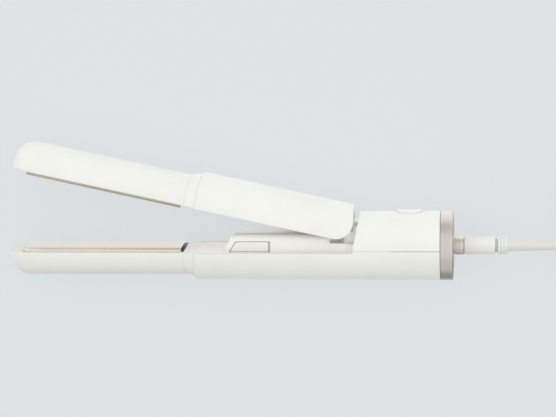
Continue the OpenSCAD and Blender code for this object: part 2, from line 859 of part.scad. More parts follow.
upper_end = wall_x - 0.2;
upper_corner_r = 9;
upper_lean = 15; // forward lean of its rear end, in degrees
rear_way = 12; // how far the cuts at the rear of the upper handle reach in
pocket_deep = arm_gap - block_top - pocket_clear; // ceiling over the block
pocket_shallow = arm_gap - block_low - pocket_clear - 0.4; // over its low rear part
upper_seat = pocket_deep - screw_head_h - 0.5; // where the upper screws' heads rest
upper_screw_len = handle_in + upper_seat - 0.4 - boss_floor;

// Side view of the upper handle with its round rear corner, inset on all sides
module upper_side(inset) {
    corner = upper_corner_r - inset;
    mid = [upper_end - upper_corner_r, -edge_drop - upper_corner_r];
    turn = mid + corner * [cos(upper_lean), -sin(upper_lean)];
    back = -handle_r - 1;
    translate(mid) circle(corner);
    polygon([
        [handle_x - 5, back], [turn[0] - (turn[1] - back) * tan(upper_lean), back], turn, mid,
        [mid[0], mid[1] + corner], [handle_x - 5, mid[1] + corner],
    ]);
}

module upper_handle_shell() color(white) lay() on_upper_arm() {
    difference() {
        union() {
            difference() {
                intersection() {
                    handle_form(upper_end + 1, 0);
                    across(far) upper_side(0);
                }
                bar(handle_x - 1, handle_x + front_wall + 1, handle_in - 1.5 + slip);
                // the hollow is open below, between the shell's edges
                intersection() {
                    bar(handle_x + front_wall, upper_end, handle_in);
                    union() {
                        across(far) upper_side(handle_wall);
                        slab(handle_x, upper_end - upper_corner_r, far, -handle_wall - edge_drop - 1, 5);
                    }
                }
            }
            bosses(upper_screws_at, upper_seat - post_foot - slip, boss_r);
        }
        threads(upper_screws_at, upper_seat, upper_screw_len);
        // ways for the tongue and over the block's low rear part
        slab(upper_end - rear_way, upper_end + rear_way, tongue_w + 2 * slip, tongue_low() - slip, tongue_high() + slip);
        slab(upper_end - rear_way, upper_end + rear_way, pocket_w, pocket_shallow, rear_way);
    }
}

// Heights of the tongue in the arm's own frame, and of the upper screws' tips
function knuckle_z() = arm_gap - hinge_z;
function tongue_high() = knuckle_z() + knuckle_r;
function tongue_low() = knuckle_z() - knuckle_r * 0.6;

module upper_liner() color(white) lay() on_upper_arm() {
    step_x = block_drop_end + 0.8;
    pocket_x = block_x - 2.6;
    pocket_end = upper_end + 1;
    difference() {
        union() {
            // lid between the shell's edges, turned up at the rear
            intersection() {
                bar(lid_x, body_len, handle_in - slip);
                difference() {
                    union() {
                        intersection() {
                            across(far) upper_side(handle_wall + slip);
                            slab(handle_x, body_len, far, -handle_r, 0);
                        }
                        slab(lid_x, upper_end - upper_corner_r - 1, far, -edge_drop - handle_wall - 0.2, -edge_drop);
                    }
                    across(far) upper_side(handle_wall + cover_wall);
                }
            }
            // walls of the pocket that takes the control block
            intersection() {
                drawn(pocket_x - cover_wall, step_x + cover_wall)
                    mirror([0, 1]) crown(pocket_w / 2 + cover_wall, 2.2, -pocket_deep + cover_wall, block_r + 1.8);
                bar(lid_x, body_len, handle_in - slip);
            }
            intersection() {
                drawn(step_x, upper_end)
                    mirror([0, 1]) crown(pocket_w / 2 + cover_wall, 2.2, -pocket_shallow + cover_wall, 1);
                across(far) upper_side(handle_wall + slip);
            }
            // hinge tongue and its knuckle
            slab(step_x + 1, hinge_x, tongue_w, tongue_low(), tongue_high());
            translate([hinge_x, 0, knuckle_z()]) rotate([90, 0, 0])
                cylinder(r = knuckle_r, h = tongue_w, center = true);
            for (p = upper_screws_at)
                translate([p[0], p[1], upper_seat - post_foot]) cylinder(r = post_r, h = 3);
        }
        drawn(pocket_x, step_x) mirror([0, 1]) crown(pocket_w / 2, -5, -pocket_deep, block_r + 0.4);
        slab(step_x - 0.5, pocket_end, pocket_w, pocket_shallow, rear_way);
        // notch for the spring, and the pin's bore
        slab(hinge_x - knuckle_r - 1, hinge_x + knuckle_r + 1, notch_w, -far, 0);
        translate([hinge_x, 0, knuckle_z()]) rotate([90, 0, 0])
            cylinder(r = pin_r + 0.05, h = far, center = true);
        for (p = upper_screws_at)
            translate([p[0], p[1], upper_seat]) {
                translate([0, 0, -post_foot - 1]) cylinder(r = screw_r + screw_gap, h = post_foot + 2);
                cylinder(r = well_r, h = far);
            }
    }
}

module upper_screws() color(steel) lay() on_upper_arm()
    screws(upper_screws_at, upper_seat, upper_screw_len);

// ---------- cord ----------

// A cord along points, as one closed tube whose rings stand square to it
module tube(points, r, sides) {
    last = len(points) - 1;
    function way(i) = let (d = points[min(i + 1, last)] - points[max(i - 1, 0)]) d / norm(d);
    function ring(i) =
        let (t = way(i), s = cross(t, [0, 0, 1]), side = s / norm(s), up = cross(side, t))
        [for (k = [0:sides - 1]) let (a = 360 * (k + 0.5) / sides) points[i] + r * (cos(a) * side + sin(a) * up)];
    rings = [for (i = [0:last]) each ring(i)];
    walls = [
        for (i = [0:last - 1], k = [0:sides - 1])
            let (a = i * sides + k, b = i * sides + (k + 1) % sides)
            each [[a, b, a + sides], [b, b + sides, a + sides]]
    ];
    caps = [
        for (k = [1:sides - 2])
            each [[0, k + 1, k], [last * sides, last * sides + k, last * sides + k + 1]]
    ];
    polyhedron(points = rings, faces = concat(walls, caps), convexity = 10);
}

// A point of the coil after some turns, from its top outer turn down to its lowest
function coil_point(turns) =
    let (
        step = layer_turns + 0.5,
        layer = min(floor(turns / step), coil_layers - 1),
        along = turns - layer * step,
        run = min(along / layer_turns, 1),
        turning = max(0, min(1, (along - layer_turns) / 0.5)),
        inward = layer % 2 == 0,
        r = inward ? coil_out + (coil_in - coil_out) * run : coil_in + (coil_out - coil_in) * run,
        dip = (inward ? -1 : 1) * coil_dip * sin(180 * turning),
        fall = layer + (1 - cos(180 * turning)) / 2,
        angle = -90 + 360 * turns
    )
    [
        coil_mid[0] + (r + dip) * cos(angle),
        coil_mid[1] + (r + dip) * sin(angle),
        coil_top_z - fall * layer_pitch
    ];

coil_run = [for (i = [0:coil_turns * coil_rings]) coil_point(i / coil_rings)];
coil_start = coil_run[0];
coil_stop = coil_run[len(coil_run) - 1];
coil_way = [cord_d, 0, 0]; // the coil starts and ends straight along X
coil_points = concat([coil_start - coil_way], coil_run, [coil_stop + coil_way]);

// Least gap between parts of the coil's tube that lie more than half a turn apart
coil_gap = min([
    for (i = [0:len(coil_run) - 1], j = [i + coil_rings / 2:1:len(coil_run) - 1])
        norm(coil_run[i] - coil_run[j])
]) - cord_d;

// Route of the lead from the sleeve to the coil, from the cord's exit
lead_offsets = [
    [0, 0, 0], [4.5, 0, 0], [9, -0.6, 0], [14, -2.4, -0.1], [19, -5.2, -0.2], [24, -8.3, -0.3], [28.5, -11, -0.3],
];
lead_points = concat([for (p = lead_offsets) cord_exit + p], [coil_points[0] - coil_way, coil_points[0]]);

// Route of the tail from the coil to the plug, from the coil's end
tail_stop = coil_points[len(coil_points) - 1];
tail_rise = plug_t / 2 - tail_stop[2];
tail_offsets = [[4.5, 0, 0], [9, -0.3, 0.1], [14, -1.2, 0.4], [18.5, -2, 0.75], [23, -2.2, 1], [27.5, -2.2, 1]];
tail_points = concat([tail_stop], [for (p = tail_offsets) tail_stop + [p[0], p[1], p[2] * tail_rise]]);
plug_at = tail_points[len(tail_points) - 1];

function route_len(points) = [for (i = [1:len(points) - 1]) norm(points[i] - points[i - 1])] * [for (i = [1:len(points) - 1]) 1];

echo(coil_gap_to_itself = coil_gap, coil_length = route_len(coil_points));
echo(cord_length = route_len(coil_points) + route_len(lead_points) + route_len(tail_points));

module cord_lead() color(white) tube(lead_points, cord_d / 2, 8);
module cord_coil() color(white) tube(coil_points, cord_d / 2, coil_sides);
module cord_tail() color(white) tube(tail_points, cord_d / 2, 8);

module cord_tie() color(greige) {
    high = coil_top_z + cord_d / 2 + slip;
    inner = coil_in - coil_dip - cord_d / 2 - tie_room[0];
    outer = coil_out + coil_dip + cord_d / 2 + tie_room[1];
    translate([coil_mid[0], coil_mid[1], 0]) rotate([0, 0, tie_angle]) difference() {
        translate([inner - tie_t, -tie_w / 2, 0]) cube([outer - inner + 2 * tie_t, tie_w, high + tie_t]);
        translate([inner, -tie_w, tie_t]) cube([outer - inner, 2 * tie_w, high - tie_t]);
    }
}

// The plug lies flat on the table with its pins pointing away from the iron
module plug_body() color(white) translate(plug_at) {
    neck = 12;
    corner = 3;
    rotate([0, 90, 0]) cylinder(r1 = 3.2, r2 = 4.6, h = neck + 1);
    translate([0, 0, -plug_t / 2]) linear_extrude(plug_t) hull() {
        for (side = [-1, 1]) {
            translate([neck + 2, side * 3]) circle(2, $fn = 32);
            translate([plug_len - 12, side * (plug_w / 2 - corner)]) circle(corner, $fn = 32);
            translate([plug_len - 3, side * (plug_w / 2 - corner - 1)]) square([3, 1]);
        }
    }
}

module plug_pins() color(steel) translate(plug_at)
    for (side = [-1, 1])
        translate([plug_len + slip, side * plug_pin_pitch / 2, 0]) rotate([0, 90, 0])
            cylinder(r = plug_pin_r, h = plug_pin_len);

lower_handle_shell();
rear_top_shell();
inner_cover();
lower_collar();
lower_barrel_shell();
trim_ring();
end_cap();
hinge_bracket();
hinge_pin();
hinge_spring();
control_board();
power_switch();
key_board();
housing_screws();
lower_plate_springs();
mode_key();
power_button();
lower_plate();
lower_heater();
lower_heater_clip();
lower_plate_carrier();
thermal_fuse();
upper_handle_shell();
upper_liner();
upper_collar();
upper_barrel_shell();
upper_plate_springs();
upper_screws();
upper_plate();
upper_heater();
upper_heater_clip();
upper_plate_carrier();
thermistor();
cord_swivel();
cord_lead();
cord_coil();
cord_tie();
cord_tail();
plug_body();
plug_pins();
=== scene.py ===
import math

import bmesh
import bpy
from mathutils import Matrix, Vector


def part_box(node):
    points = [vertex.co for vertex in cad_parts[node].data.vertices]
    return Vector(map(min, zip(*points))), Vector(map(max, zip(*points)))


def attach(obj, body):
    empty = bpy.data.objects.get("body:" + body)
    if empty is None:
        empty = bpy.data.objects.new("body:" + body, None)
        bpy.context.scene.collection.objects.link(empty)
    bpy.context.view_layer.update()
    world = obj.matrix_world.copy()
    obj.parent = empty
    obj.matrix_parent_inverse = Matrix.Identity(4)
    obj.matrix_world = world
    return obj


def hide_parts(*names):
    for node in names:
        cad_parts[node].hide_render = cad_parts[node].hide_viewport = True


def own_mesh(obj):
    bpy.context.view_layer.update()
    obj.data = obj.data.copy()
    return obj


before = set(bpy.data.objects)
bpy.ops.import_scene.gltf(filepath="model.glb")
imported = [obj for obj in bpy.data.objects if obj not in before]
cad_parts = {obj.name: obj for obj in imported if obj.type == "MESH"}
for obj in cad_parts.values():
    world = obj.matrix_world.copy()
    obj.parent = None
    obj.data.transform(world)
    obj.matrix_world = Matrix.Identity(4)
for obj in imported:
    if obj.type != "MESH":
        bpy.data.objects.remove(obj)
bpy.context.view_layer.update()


# ---------------------------------------------------------------- camera
# A long lens almost straight above the table, leaning a little to the side that the
# arms open to, and standing over the cord's end of the iron.
lean = math.radians(10.6)
reach = 1.5  # from the lower arm's axis to the camera
axis_y, axis_z = -0.0188916, 0.01825  # the lower arm's axis
stand = Vector((0.14035, axis_y + reach * math.sin(lean), axis_z + reach * math.cos(lean)))
aim = Vector((0.02225, 0.0003, 0.0147))
ahead = (aim - stand).normalized()
right = (Vector((1, 0, 0)) - ahead.x * ahead).normalized()
up = right.cross(ahead)
bpy.ops.object.camera_add()
camera = bpy.context.object
camera.name = "camera"
camera.matrix_world = Matrix.Translation(stand) @ Matrix((right, up, -ahead)).transposed().to_4x4()
camera.data.lens = 183.5
camera.data.clip_start, camera.data.clip_end = 0.05, 50
bpy.context.scene.camera = camera


# ---------------------------------------------------------------- table and light
# A pale matt table top under a soft studio sky that is brighter on the side that the
# arms open to, and one wide soft lamp over that side. Behind the iron the table shows in
# an even pale grey. Polished faces see a painted reflection in it: darker on the near side
# and pale by the handle.
ground = (0.716, 0.753, 0.776)


class Wire:
    """A socket, so that the maths of a finish reads as plain sums."""

    def __init__(self, recipe, socket):
        self.recipe, self.socket = recipe, socket

    def _math(self, operation, *terms):
        return self.recipe.node("ShaderNodeMath", {"operation": operation}, dict(enumerate(terms)))

    def __add__(self, other):
        return self._math("ADD", self, other)

    __radd__ = __add__

    def __sub__(self, other):
        return self._math("SUBTRACT", self, other)

    def __rsub__(self, other):
        return self._math("SUBTRACT", other, self)

    def __mul__(self, other):
        return self._math("MULTIPLY", self, other)

    __rmul__ = __mul__

    def __gt__(self, other):
        return self._math("GREATER_THAN", self, other)

    def __lt__(self, other):
        return self._math("LESS_THAN", self, other)

    def __abs__(self):
        return self._math("ABSOLUTE", self)


class Recipe:
    """The nodes of a finish or of the room's light."""

    def __init__(self, tree):
        self.tree = tree

    def node(self, kind, settings=None, values=None, out=0):
        made = self.tree.nodes.new(kind)
        for setting, value in (settings or {}).items():
            if setting == "stops":
                ramp = made.color_ramp.elements
                while len(ramp) < len(value):
                    ramp.new(0.5)
                for element, (place, colour) in zip(ramp, value):
                    element.position, element.color = place, (*colour, 1)
            else:
                setattr(made, setting, value)
        for socket, value in (values or {}).items():
            if isinstance(value, Wire):
                self.tree.links.new(value.socket, made.inputs[socket])
            else:
                made.inputs[socket].default_value = value
        return Wire(self, made.outputs[out])

    def mix(self, share, one, other):
        """The one colour at a share of 0, the other at a share of 1."""
        colours = {6: one, 7: other}  # the node's two colour sockets
        colours = {k: v if isinstance(v, Wire) else (*v, 1) for k, v in colours.items()}
        return self.node("ShaderNodeMix", {"data_type": "RGBA"}, {0: share, **colours}, out=2)

    def ray(self, kind):
        return self.node("ShaderNodeLightPath", out=f"Is {kind} Ray")

    def looked_at(self, by_camera=1.0):
        """1 for what a polished face or the camera sees, 0 for what lights the iron. The
        camera can see it in part, so that a share of the shadows shows."""
        seen = self.ray("Camera") * by_camera + self.ray("Glossy") + self.ray("Transmission")
        return self.node("ShaderNodeMath", {"operation": "MINIMUM"}, {0: seen, 1: 1.0})

    def behind(self, mirrored):
        """The even colour behind the iron for the camera, and the mirrored one for all else."""
        return self.mix(self.ray("Camera"), mirrored, ground)

    def place(self, turn=(0, 0, 0), stretch=(1, 1, 1)):
        here = self.node("ShaderNodeTexCoord", out="Object")
        return self.node("ShaderNodeMapping", {}, {"Vector": here, "Rotation": turn, "Scale": stretch})

    def axis(self, vector, letter):
        return self.node("ShaderNodeSeparateXYZ", {}, {"Vector": vector}, out=letter)

    def noise(self, scale, detail=2.0, place=None):
        values = {"Vector": place or self.place(), "Scale": scale, "Detail": detail}
        return self.node("ShaderNodeTexNoise", {}, values)

    def band(self, value, low, high, bottom=0.0, top=1.0):
        return self.node(
            "ShaderNodeMapRange",
            {"interpolation_type": "SMOOTHSTEP"},
            {"Value": value, "From Min": low, "From Max": high, "To Min": bottom, "To Max": top},
        )


class Finish(Recipe):
    """One material: its main shader, with what is even all over set on the shader itself."""

    def __init__(self, name, **even):
        self.material = bpy.data.materials.new(name)
        self.material.use_nodes = True
        super().__init__(self.material.node_tree)
        self.shader = self.tree.nodes["Principled BSDF"]
        for socket, value in even.items():
            self.shader.inputs[socket.replace("_", " ")].default_value = value

    def feed(self, **sockets):
        for socket, wire in sockets.items():
            self.tree.links.new(wire.socket, self.shader.inputs[socket.replace("_", " ")])

    def relief(self, height, depth, edge=0.0):
        """Bumps of a depth in metres, over edges rounded by a radius."""
        values = {"Height": height, "Distance": depth, "Strength": 1.0}
        if edge:
            values["Normal"] = self.node("ShaderNodeBevel", {"samples": 4}, {"Radius": edge})
        self.feed(Normal=self.node("ShaderNodeBump", {}, values))


bpy.ops.mesh.primitive_plane_add(size=12, location=(0, 0, -0.0001))
table_top = bpy.context.object
table_top.name = "table_top"
matt = Finish("pale_table", Roughness=0.9, Specular_IOR_Level=0.1)
matt.feed(Base_Color=matt.mix(matt.noise(3.0), (0.86, 0.865, 0.87), (0.865, 0.87, 0.875)))
# The near and handle tones are a painted reflection that only polished faces see in the table.
even_grey, painted_handle_reflection, painted_near_reflection = (0.8, 0.8, 0.785), (1.0, 0.995, 0.975), (0.38, 0.38, 0.375)
far_reflection = matt.mix(matt.band(matt.axis(matt.place(), "X"), -0.035, -0.02), even_grey, painted_handle_reflection)
mirrored = matt.mix(matt.band(matt.axis(matt.place(), "Y"), -0.075, -0.036), painted_near_reflection, far_reflection)
glow = matt.node("ShaderNodeEmission", {}, {"Color": matt.behind(mirrored), "Strength": 1.0})
lit = Wire(matt, matt.shader.outputs["BSDF"])
matt_top = matt.node("ShaderNodeMixShader", {}, {0: matt.looked_at(0.85), 1: lit, 2: glow})
matt.tree.links.new(matt_top.socket, matt.tree.nodes["Material Output"].inputs["Surface"])
table_top.data.materials.append(matt.material)

world = bpy.context.scene.world or bpy.data.worlds.new("room")
bpy.context.scene.world = world
world.use_nodes = True
room = Recipe(world.node_tree)
way = room.node("ShaderNodeTexCoord", out="Generated")
sideways = room.axis(way, "Y")
near_side, overhead, far_side = (0.36, 0.361, 0.362), (0.745, 0.743, 0.737), (1.0, 0.997, 0.99)
above = room.mix(room.band(sideways, 0.1, 1.0), overhead, far_side)
sky_colour = room.mix(room.band(sideways, -1.0, -0.45), near_side, above)
sky = room.node("ShaderNodeBackground", {}, {"Color": sky_colour, "Strength": 1.17})
backdrop = room.node("ShaderNodeBackground", {}, {"Color": room.behind(even_grey), "Strength": 1.0})
whole = room.node("ShaderNodeMixShader", {}, {0: room.looked_at(), 1: sky, 2: backdrop})
room.tree.links.new(whole.socket, room.tree.nodes["World Output"].inputs["Surface"])

bpy.ops.object.light_add(type="SUN", rotation=(math.radians(-10), math.radians(-10), 0))
lamp = bpy.context.object
lamp.name = "soft_lamp"
lamp.data.energy = 0.36
lamp.data.angle = math.radians(90)
lamp.data.color = (1.0, 0.995, 0.98)
bpy.context.scene.view_settings.view_transform = "Standard"


# ---------------------------------------------------------------- cord
# A round flexible lead in soft white plastic. It leaves the tail of the sleeve, bends
# to the side and is wound into a neat coil of ten turns, in four layers of a spiral
# that runs in and out again, and its end lies out towards the plug.
cord_d = 0.0045
exit_point = Vector((0.16745, axis_y, axis_z))
coil_mid = Vector((0.2094, 0.0))
turns, layers, points_per_turn = 10, 4, 24
mean_r, turn_pitch, layer_pitch = 0.0254, 0.00515, 0.00495
drop = 0.5  # the part of a turn in which the cord drops to the next layer
dip = 0.0007  # how far it swings past the layer's edge there
tie_t, tie_seat = 0.0008, 0.00005
layer_turns = (turns - (layers - 1) * drop) / layers
coil_out = mean_r + layer_turns * turn_pitch / 2
coil_in = mean_r - layer_turns * turn_pitch / 2
coil_top = tie_t + tie_seat + cord_d / 2 + (layers - 1) * layer_pitch


def coil_point(wound):
    """A point of the coil after some turns, from its top outer turn down to its lowest."""
    step = layer_turns + drop
    layer = min(int(wound / step), layers - 1)
    along = wound - layer * step
    run = min(along / layer_turns, 1)
    turning = max(0, min(1, (along - layer_turns) / drop))
    inward = layer % 2 == 0
    r = coil_out + (coil_in - coil_out) * run if inward else coil_in + (coil_out - coil_in) * run
    r += (-dip if inward else dip) * math.sin(math.pi * turning)
    fall = layer + (1 - math.cos(math.pi * turning)) / 2
    angle = 2 * math.pi * wound - math.pi / 2
    x, y = coil_mid.x + r * math.cos(angle), coil_mid.y + r * math.sin(angle)
    return Vector((x, y, coil_top - fall * layer_pitch))


straight = Vector((cord_d, 0, 0))
coil = [coil_point(i / points_per_turn) for i in range(turns * points_per_turn + 1)]
coil = [coil[0] - straight, *coil, coil[-1] + straight]
lead_mm = [
    (0, 0, 0), (4.5, 0, 0), (9, -0.6, 0), (14, -2.4, -0.1), (19, -5.2, -0.2), (24, -8.3, -0.3),
    (28.5, -11, -0.3),
]
lead = [exit_point + Vector(p) / 1000 for p in lead_mm] + [coil[0] - straight]
plug_t = 0.0136
rise = plug_t / 2 - coil[-1].z
tail_mm = [(4.5, 0, 0), (9, -0.3, 0.1), (14, -1.2, 0.4), (18.5, -2, 0.75), (23, -2.2, 1), (27.5, -2.2, 1)]
tail = [coil[-1] + Vector((x / 1000, y / 1000, share * rise)) for x, y, share in tail_mm]
route = lead + coil + tail
plug_at = tail[-1]
cord_length = sum((b - a).length for a, b in zip(route, route[1:]))

cord_curve = bpy.data.curves.new("cord", "CURVE")
cord_curve.dimensions = "3D"
cord_curve.resolution_u = 4
cord_curve.bevel_depth = cord_d / 2
cord_curve.bevel_resolution = 4
cord_curve.use_fill_caps = True
spline = cord_curve.splines.new("BEZIER")
spline.bezier_points.add(len(route) - 1)
for point, place in zip(spline.bezier_points, route):
    point.co = place
    point.handle_left_type = point.handle_right_type = "AUTO"
cord = bpy.data.objects.new("cord", cord_curve)
bpy.context.collection.objects.link(cord)
jacket = Finish("soft_white_jacket", Specular_IOR_Level=0.45, Coat_Roughness=0.3)
skin = jacket.noise(420.0, 3.0)
cast = jacket.noise(45.0)
jacket.feed(
    Base_Color=jacket.mix(cast, (0.72, 0.728, 0.67), (0.77, 0.777, 0.72)),
    Roughness=jacket.band(skin, 0.3, 0.7, 0.36, 0.48),
)
jacket.relief(jacket.noise(1500.0) + skin * 0.6, 0.00006)
cord.data.materials.append(jacket.material)
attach(cord, "body")
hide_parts("cord_lead", "cord_coil", "cord_tail")


# ---------------------------------------------------------------- plug
# A flat two-pin mains plug, moulded in one piece over the cord's end, with a ringed
# neck and grip ribs on its upper side.
def only(*objects):
    bpy.ops.object.select_all(action="DESELECT")
    for o in objects:
        o.select_set(True)
    bpy.context.view_layer.objects.active = objects[0]


def apply_modifier(o, kind, **settings):
    only(o)
    modifier = o.modifiers.new(kind.lower(), kind)
    for setting, value in settings.items():
        setattr(modifier, setting, value)
    bpy.ops.object.modifier_apply(modifier=modifier.name)


def round_edges(o, width, segments, angle=30):
    """Rounds the edges that turn by more than an angle in degrees."""
    limit = {"limit_method": "ANGLE", "angle_limit": math.radians(angle)}
    apply_modifier(o, "BEVEL", width=width, segments=segments, **limit)


def settle(o):
    """Puts a piece's place, turn and size into its mesh."""
    only(o)
    bpy.ops.object.transform_apply(location=True, rotation=True, scale=True)


def finish_mesh(o, name, material, body, nodes=(), smooth=35):
    """Cleans a finished piece's mesh and gives the piece its name, finish and body. With
    no material it keeps the finishes that it has."""
    settle(o)
    bpy.ops.object.mode_set(mode="EDIT")
    bpy.ops.mesh.select_all(action="SELECT")
    bpy.ops.mesh.remove_doubles(threshold=1e-6)
    bpy.ops.mesh.normals_make_consistent(inside=False)
    bpy.ops.object.mode_set(mode="OBJECT")
    bpy.ops.object.shade_smooth_by_angle(angle=math.radians(smooth))
    o.name = o.data.name = name
    if material:
        o.data.materials.clear()
        o.data.materials.append(material)
    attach(o, body)
    if nodes:
        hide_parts(*nodes)


def copy_of(node):
    """A copy of a CAD node's mesh, with its loose triangles merged."""
    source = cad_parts[node]
    made = bpy.data.objects.new(node + "_copy", source.data.copy())
    made.data.materials.clear()
    bpy.context.collection.objects.link(made)
    only(made)
    bpy.ops.object.mode_set(mode="EDIT")
    bpy.ops.mesh.select_all(action="SELECT")
    bpy.ops.mesh.remove_doubles(threshold=2e-6)
    bpy.ops.mesh.dissolve_limited(angle_limit=math.radians(0.5))
    bpy.ops.object.mode_set(mode="OBJECT")
    return made


plug = copy_of("plug_body")
round_edges(plug, 0.0011, 3, 40)
finish_mesh(plug, "plug_moulding", jacket.material, "body", ["plug_body"])

grip = []
ring_gap = 0.0022
first_rib, rib_gap, rib_size = 0.0215, 0.0021, (0.0009, 0.017, 0.0006)
for i in range(4):
    bpy.ops.mesh.primitive_torus_add(
        major_radius=0.0034 + 0.0003 * i, minor_radius=0.0006, major_segments=40, minor_segments=10,
        location=plug_at + Vector((ring_gap + ring_gap * i, 0, 0)), rotation=(0, math.pi / 2, 0),
    )
    grip.append(bpy.context.object)
for i in range(5):
    rib_at = plug_at + Vector((first_rib + rib_gap * i, 0, plug_t / 2))
    bpy.ops.mesh.primitive_cube_add(size=1, location=rib_at)
    rib = bpy.context.object
    rib.scale = rib_size
    only(rib)
    bpy.ops.object.transform_apply(location=False, rotation=False, scale=True)
    round_edges(rib, 0.00025, 2)
    grip.append(rib)
only(*grip)
bpy.ops.object.join()
finish_mesh(bpy.context.object, "plug_grip", jacket.material, "body")

pin_metal = Finish("nickel_plate", Metallic=1.0)
drawn_lines = pin_metal.noise(300.0, place=pin_metal.place(stretch=(0.1, 6, 6)))
pin_metal.feed(
    Base_Color=pin_metal.mix(drawn_lines, (0.62, 0.6, 0.56), (0.72, 0.7, 0.66)),
    Roughness=pin_metal.band(drawn_lines, 0.2, 0.8, 0.18, 0.32),
)
pin_metal.relief(drawn_lines, 0.00002)
pin_sleeve = Finish("pin_sleeve", Specular_IOR_Level=0.4)
sleeve_skin = pin_sleeve.noise(900.0)
pin_sleeve.feed(
    Base_Color=pin_sleeve.mix(sleeve_skin, (0.72, 0.72, 0.69), (0.78, 0.78, 0.75)),
    Roughness=pin_sleeve.band(sleeve_skin, 0.3, 0.7, 0.4, 0.52),
)
pins = []
pins_at, pins_apart, pin_r, pin_length = 0.03505, 0.0186, 0.002, 0.019
sleeve_end, metal_start, sleeve_share = 0.0102, 0.0106, 0.96  # a thinner, insulated root
for side in (-1, 1):
    foot = plug_at + Vector((pins_at, side * pins_apart / 2, 0))
    bpy.ops.mesh.primitive_cylinder_add(
        vertices=32, radius=pin_r, depth=pin_length,
        location=foot + Vector((pin_length / 2, 0, 0)), rotation=(0, math.pi / 2, 0),
    )
    pin = bpy.context.object
    settle(pin)
    pin.data.materials.append(pin_metal.material)
    pin.data.materials.append(pin_sleeve.material)
    bpy.ops.object.mode_set(mode="EDIT")
    for at in (sleeve_end, metal_start):
        bpy.ops.mesh.select_all(action="SELECT")
        bpy.ops.mesh.bisect(plane_co=foot + Vector((at, 0, 0)), plane_no=(1, 0, 0))
    bpy.ops.object.mode_set(mode="OBJECT")
    step_mid = foot.x + (sleeve_end + metal_start) / 2
    for face in pin.data.polygons:
        face.material_index = 1 if face.center.x < foot.x + sleeve_end else 0
    for v in pin.data.vertices:
        if v.co.x < step_mid:
            v.co.y = foot.y + (v.co.y - foot.y) * sleeve_share
            v.co.z = foot.z + (v.co.z - foot.z) * sleeve_share
    round_edges(pin, 0.0009, 4, 60)
    pins.append(pin)
only(*pins)
bpy.ops.object.join()
finish_mesh(bpy.context.object, "plug_pin_pair", None, "body", ["plug_pins"])


# ---------------------------------------------------------------- cord tie
# A soft woven strap holds the coil's turns together. It goes once round them and is
# closed on itself, with its rounded end laid over the top.
tie_dir = math.radians(70)
tie_w, tie_corner, play_in, play_out = 0.009, 0.0028, 0.00075, 0.00015
tie_in = coil_in - dip - cord_d / 2 - play_in
tie_out = coil_out + dip + cord_d / 2 + play_out
tie_high = coil_top + cord_d / 2 + tie_seat
bpy.ops.mesh.primitive_cube_add(size=1, location=((tie_in + tie_out) / 2, 0, (tie_high + tie_t) / 2))
strap = bpy.context.object
strap.scale = (tie_out - tie_in + 2 * tie_t, tie_w, tie_high + tie_t)
settle(strap)
bpy.ops.object.mode_set(mode="EDIT")
mesh = bmesh.from_edit_mesh(strap.data)
for e in mesh.edges:
    e.select_set(abs((e.verts[0].co - e.verts[1].co).y) > tie_w / 2)
mesh.select_flush_mode()
bmesh.update_edit_mesh(strap.data)
bpy.ops.mesh.bevel(offset=tie_corner, segments=6)
mesh = bmesh.from_edit_mesh(strap.data)
mesh.normal_update()
for f in mesh.faces:
    f.select_set(abs(f.normal.y) > 0.9)
bmesh.update_edit_mesh(strap.data)
bpy.ops.mesh.delete(type="FACE")
bpy.ops.object.mode_set(mode="OBJECT")
apply_modifier(strap, "SOLIDIFY", thickness=tie_t, offset=-1)
round_edges(strap, 0.00022, 2, 50)

end_x, end_back = tie_in + 0.0118, tie_in + 0.0035
bpy.ops.mesh.primitive_cylinder_add(
    vertices=48, radius=0.0042, depth=0.0007, location=(end_x, 0, tie_high + tie_t + 0.0003)
)
strap_end = bpy.context.object
settle(strap_end)
for v in strap_end.data.vertices:
    if v.co.x < end_x - 0.0001:
        v.co.x = end_back
round_edges(strap_end, 0.0002, 2, 50)
only(strap, strap_end)
bpy.ops.object.join()
strap.rotation_euler = (0, 0, tie_dir)
strap.location = (coil_mid.x, coil_mid.y, 0)
webbing = Finish("tie_webbing", Specular_IOR_Level=0.2, Sheen_Weight=0.3)
here = webbing.place(turn=(0, 0, -tie_dir))
threads = 9000  # radians of the weave's wave in a metre
warp, weft = (
    webbing.node("ShaderNodeMath", {"operation": "SINE"}, {0: webbing.axis(here, letter) * threads})
    for letter in "XY"
)
weave = warp * weft
webbing.feed(
    Base_Color=webbing.mix(webbing.band(weave, -1, 1), (0.6, 0.6, 0.58), (0.74, 0.74, 0.71)),
    Roughness=webbing.band(weave, -1, 1, 0.75, 0.92),
)
webbing.relief(weave, 0.00005)
finish_mesh(strap, "coil_strap", webbing.material, "body", ["cord_tie"])


# ---------------------------------------------------------------- handle and covers
# The grip and the hinge housing are moulded in a warm white plastic with a satin gloss.
# The inner covers and the hinge's bracket are glossier, and all edges slightly rounded.
def dress(finish, *nodes):
    for node in nodes:
        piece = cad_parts[node]
        piece.data.materials.clear()
        piece.data.materials.append(finish.material)


def moulded(name, dark, light, gloss, grain, edge=0.0003, **even):
    """A moulded plastic: a faint cast in its colour, an uneven gloss and a fine skin."""
    finish = Finish(name, **even)
    cast = finish.noise(30.0, 3.0)
    fine = finish.noise(grain)
    wiped = finish.noise(160.0, 4.0, finish.place(turn=(0, 0, 0.4), stretch=(0.25, 1.0, 1.0)))
    finish.feed(
        Base_Color=finish.mix(finish.band(cast, 0.3, 0.7), dark, light),
        Roughness=finish.band(wiped, 0.3, 0.75, gloss[0], gloss[1]),
    )
    finish.relief(fine + cast * 0.5, 0.00003, edge)
    return finish


